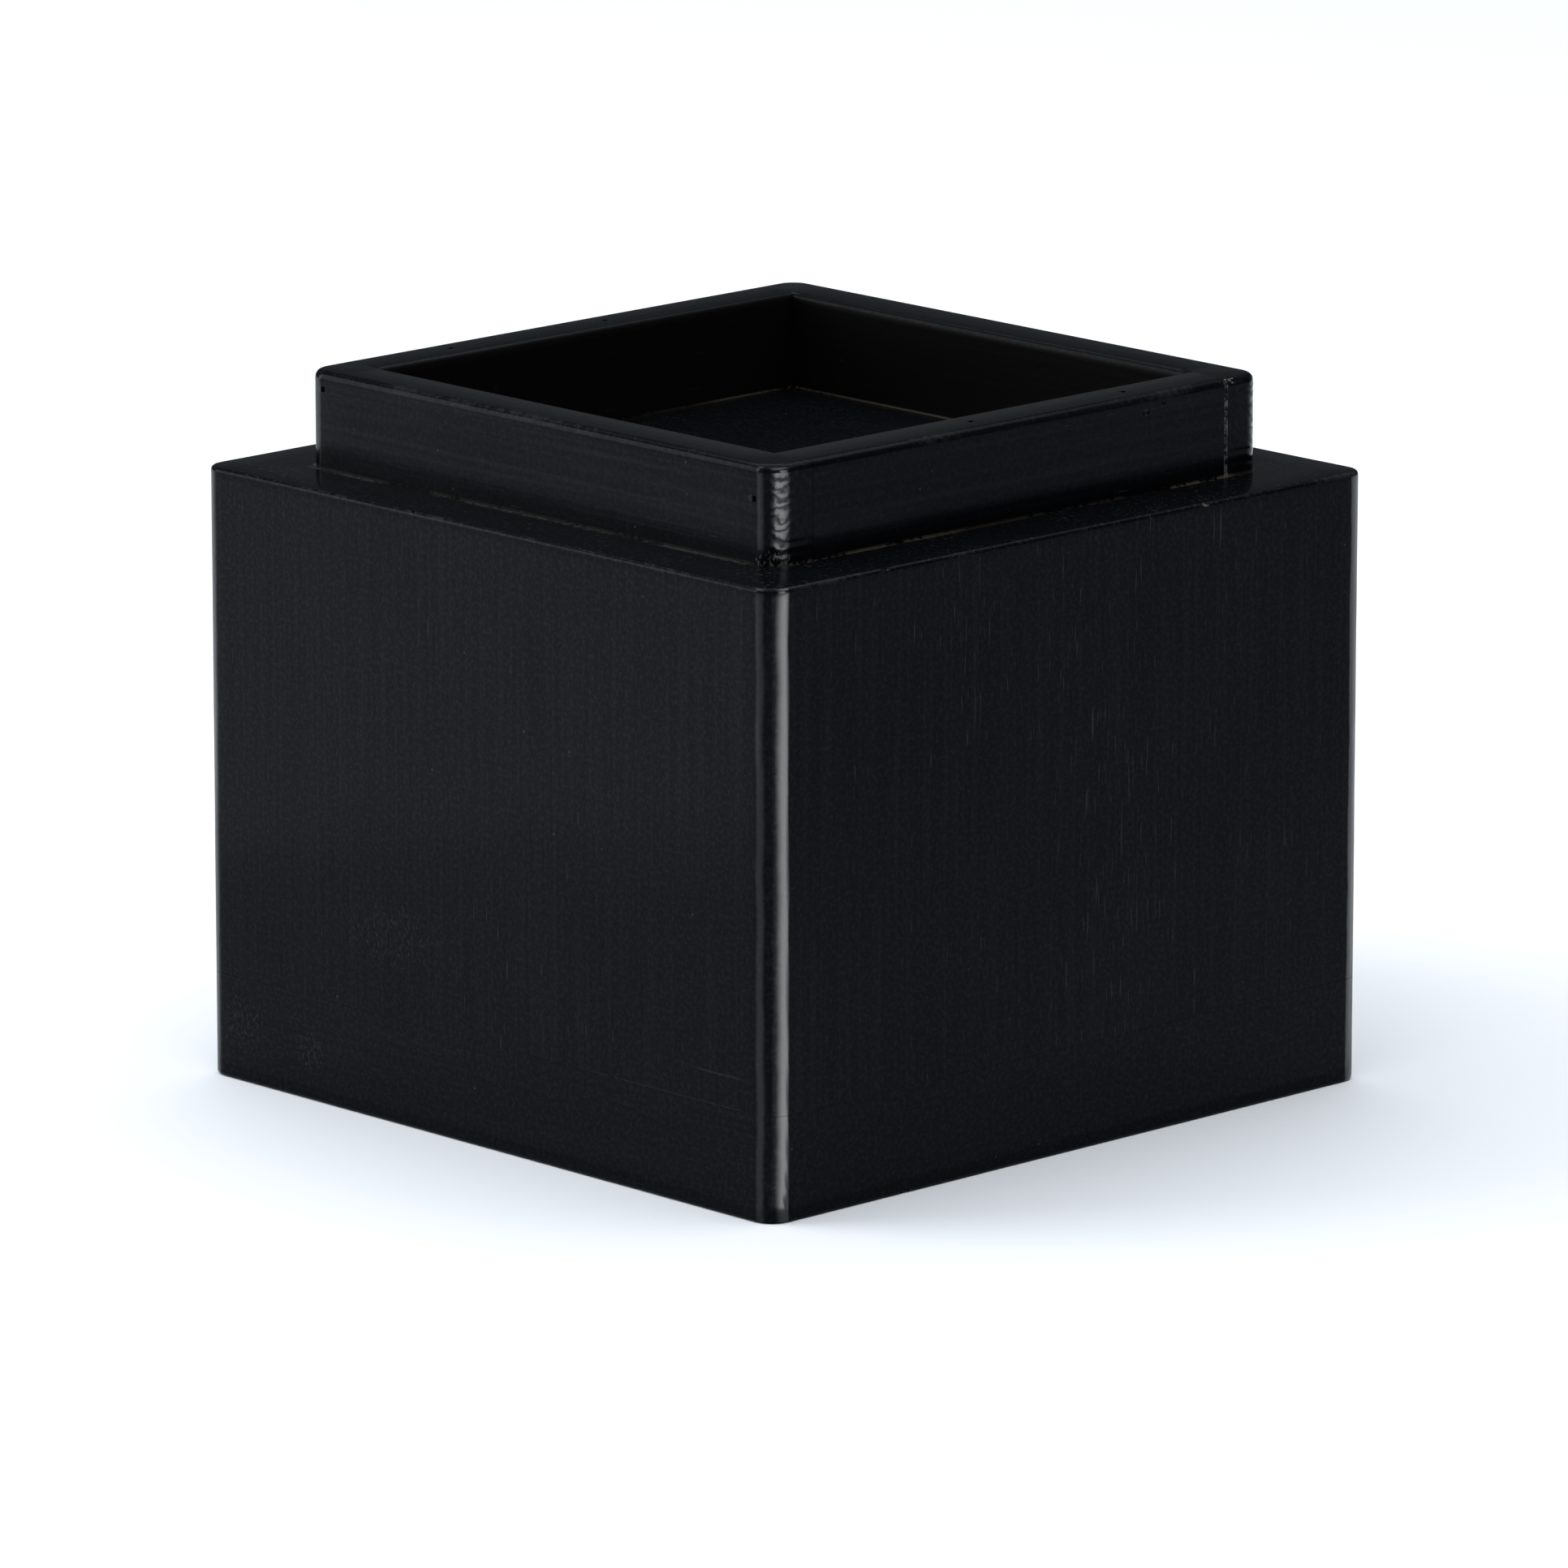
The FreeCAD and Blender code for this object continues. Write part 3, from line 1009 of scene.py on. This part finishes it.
class RISER_OT_pins(Operator):
    """Finishes the sunk wire pins"""

    bl_idname = "riser.pins"
    bl_label = "Wire Pins"

    def execute(self, context):
        finish = context.scene.riser_finish
        film_scale = 2500
        material = new_material("pin_steel")
        nodes = Nodes(material.node_tree)
        position = nodes.add("ShaderNodeTexCoord").outputs["Object"]
        film = nodes.noise(position, film_scale, 2.0)
        colour = nodes.mix(nodes.ramp(film, 0.4, 0.6), opaque(finish.steel), opaque(finish.lacquer))
        rough = nodes.ramp(film, 0.3, 0.7, 0.35, 0.6)
        shader = nodes.add(
            "ShaderNodeBsdfPrincipled", {"Base Color": colour, "Roughness": rough, "Metallic": 0.6}
        )
        nodes.add("ShaderNodeOutputMaterial", {"Surface": shader.outputs[0]})
        for node in ("corner_pins", "rim_pins"):
            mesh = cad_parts[node].data
            mesh.materials.clear()
            mesh.materials.append(material)
        return {"FINISHED"}


# Stage

def around(azimuth, distance, height):
    """A place round the riser: azimuth 0 is in front of it, and grows towards its right."""
    return Vector((math.sin(azimuth) * distance, -math.cos(azimuth) * distance, height))


class RISER_OT_stage(Operator):
    """Lays the floor and sets up the lamps and the camera"""

    bl_idname = "riser.stage"
    bl_label = "Studio"

    def execute(self, context):
        stage = context.scene.riser_stage
        aim = Vector((0, 0, stage.aim_height))
        self.lay_floor(stage)
        self.light_room(context.scene, stage)
        self.hang_panels(stage, aim)
        self.lay_corner_cards("right_card", stage)
        self.lay_side_cards(stage)
        self.set_camera(context.scene, stage, aim)
        context.scene.view_settings.view_transform = "Standard"
        return {"FINISHED"}

    def hang_panels(self, stage, aim):
        """A wide lamp overhead and a panel on each side of the view, the right one for the gloss alone."""
        above = Vector((0, 0, 1.6))
        panel_distance = 1.2
        left = around(stage.azimuth - math.radians(92), panel_distance, 0.45)
        right = around(stage.azimuth + math.radians(46), panel_distance, 0.40)
        self.hang_lamp("top_lamp", above, aim, (3.0, 3.0), stage.top_lamp)
        self.hang_lamp("left_panel", left, aim, (0.80, 0.80), stage.left_panel)
        self.hang_lamp("right_panel", right, aim, (0.75, 0.70), stage.right_panel).visible_diffuse = False

    def lay_side_cards(self, stage):
        """A pale card before the front, and rows of dimmer ones close to the front and right sides."""
        turn = stage.azimuth - math.radians(92.5)
        front = around(turn, 0.32, MILLIMETRE) - Vector((0, BODY_HALF, 0))
        self.lay_card("front_card", front, turn, (0.36, 0.34), stage.front_card)
        row_length, row_shift = 0.24, 0.05
        rows = ((0.002, 0.04, 1.0), (0.04, 0.09, 0.7), (0.09, 0.15, 0.35))
        for index, (near, far, share) in enumerate(rows):
            away = BODY_HALF + (near + far) / 2
            width = far - near
            radiance = share * stage.side_card
            right = Vector((away, row_shift, MILLIMETRE))
            front = Vector((-row_shift, -away, MILLIMETRE))
            self.lay_card(f"right_fill_{index}", right, 0, (width, row_length), radiance)
            self.lay_card(f"front_fill_{index}", front, 0, (row_length, width), radiance)

    def lay_floor(self, stage):
        """A plain pale floor."""
        bpy.ops.object.select_all(action="DESELECT")
        bpy.ops.mesh.primitive_plane_add(size=stage.floor_side)
        floor = bpy.context.object
        floor.name = "studio_floor"
        material = bpy.data.materials.new("studio_floor")
        material.use_nodes = True
        shader = material.node_tree.nodes["Principled BSDF"]
        shader.inputs["Base Color"].default_value = opaque(stage.floor_colour)
        shader.inputs["Roughness"].default_value = 0.9
        shader.inputs["Specular IOR Level"].default_value = 0.0
        floor.data.materials.append(material)

    def light_room(self, scene, stage):
        """A dim, even room."""
        world = bpy.data.worlds.new("studio_room")
        world.use_nodes = True
        world.node_tree.nodes["Background"].inputs["Strength"].default_value = stage.world_level
        world.node_tree.nodes["Background"].inputs["Color"].default_value = opaque(stage.room_tint)
        scene.world = world

    def hang_lamp(self, name, place, aim, size, radiance):
        """A soft panel of a given size and radiance, turned towards a point."""
        lamp = bpy.data.lights.new(name, "AREA")
        lamp.shape = "RECTANGLE"
        lamp.size, lamp.size_y = size
        lamp.energy = radiance * math.pi * size[0] * size[1]
        holder = bpy.data.objects.new(name, lamp)
        bpy.context.scene.collection.objects.link(holder)
        holder.location = place
        holder.rotation_euler = (aim - place).to_track_quat("-Z", "Y").to_euler()
        return holder

    def lay_card(self, name, place, turn, size, radiance):
        """A card that lies on the floor, faces up and shows in the gloss alone."""
        card = self.hang_lamp(name, place, place + Vector((0, 0, 1)), size, radiance)
        card.rotation_euler = (math.pi, 0, turn)
        card.visible_diffuse = False

    def lay_corner_cards(self, name, stage):
        """Cards that lead away from the riser's front corner and widen as they go."""
        corner = Vector((BODY_HALF, -BODY_HALF, 0))
        azimuth = stage.azimuth + math.radians(41)
        half_width = math.radians(33)
        ends = (0.003, 0.008, 0.016, 0.030, 0.055, 0.10, 0.17, 0.28, 0.47, 0.95)
        for index, (near, far) in enumerate(zip(ends, ends[1:])):
            middle = (near + far) / 2
            place = corner + around(azimuth, middle, MILLIMETRE)
            size = (2 * middle * math.tan(half_width), far - near)
            self.lay_card(f"{name}_{index}", place, azimuth, size, stage.right_card)

    def set_camera(self, scene, stage, aim):
        """A long lens at the height and angle of the view."""
        camera = bpy.data.cameras.new("camera")
        camera.lens = camera.sensor_width / 2 / math.tan(stage.field_of_view / 2)
        holder = bpy.data.objects.new("camera", camera)
        scene.collection.objects.link(holder)
        level = stage.distance * math.cos(stage.elevation)
        holder.location = aim + around(stage.azimuth, level, stage.distance * math.sin(stage.elevation))
        holder.rotation_euler = (aim - holder.location).to_track_quat("-Z", "Y").to_euler()
        scene.camera = holder


class RISER_PT_panel(Panel):
    """The riser's pieces and its studio, in the order they are made"""

    bl_label = "Bed Riser"
    bl_space_type = "VIEW_3D"
    bl_region_type = "UI"
    bl_category = "Bed Riser"

    def draw(self, context):
        for operator in OPERATORS:
            self.layout.operator(operator.bl_idname)
        for settings in (context.scene.riser_shape, context.scene.riser_finish, context.scene.riser_stage):
            box = self.layout.box()
            for name in settings.bl_rna.properties.keys():
                if name not in ("rna_type", "name"):
                    box.prop(settings, name)


SETTINGS = (RiserShape, RiserFinish, RiserStage)
OPERATORS = (RISER_OT_block, RISER_OT_base_board, RISER_OT_rails, RISER_OT_pins, RISER_OT_stage)


def register():
    for kind in (*SETTINGS, *OPERATORS, RISER_PT_panel):
        bpy.utils.register_class(kind)
    bpy.types.Scene.riser_shape = PointerProperty(type=RiserShape)
    bpy.types.Scene.riser_finish = PointerProperty(type=RiserFinish)
    bpy.types.Scene.riser_stage = PointerProperty(type=RiserStage)


def unregister():
    del bpy.types.Scene.riser_stage
    del bpy.types.Scene.riser_finish
    del bpy.types.Scene.riser_shape
    for kind in reversed((*SETTINGS, *OPERATORS, RISER_PT_panel)):
        bpy.utils.unregister_class(kind)


def main():
    register()
    bpy.ops.riser.block()
    bpy.ops.riser.base_board()
    bpy.ops.riser.rails()
    bpy.ops.riser.pins()
    bpy.ops.riser.stage()


if __name__ == "__main__":
    main()
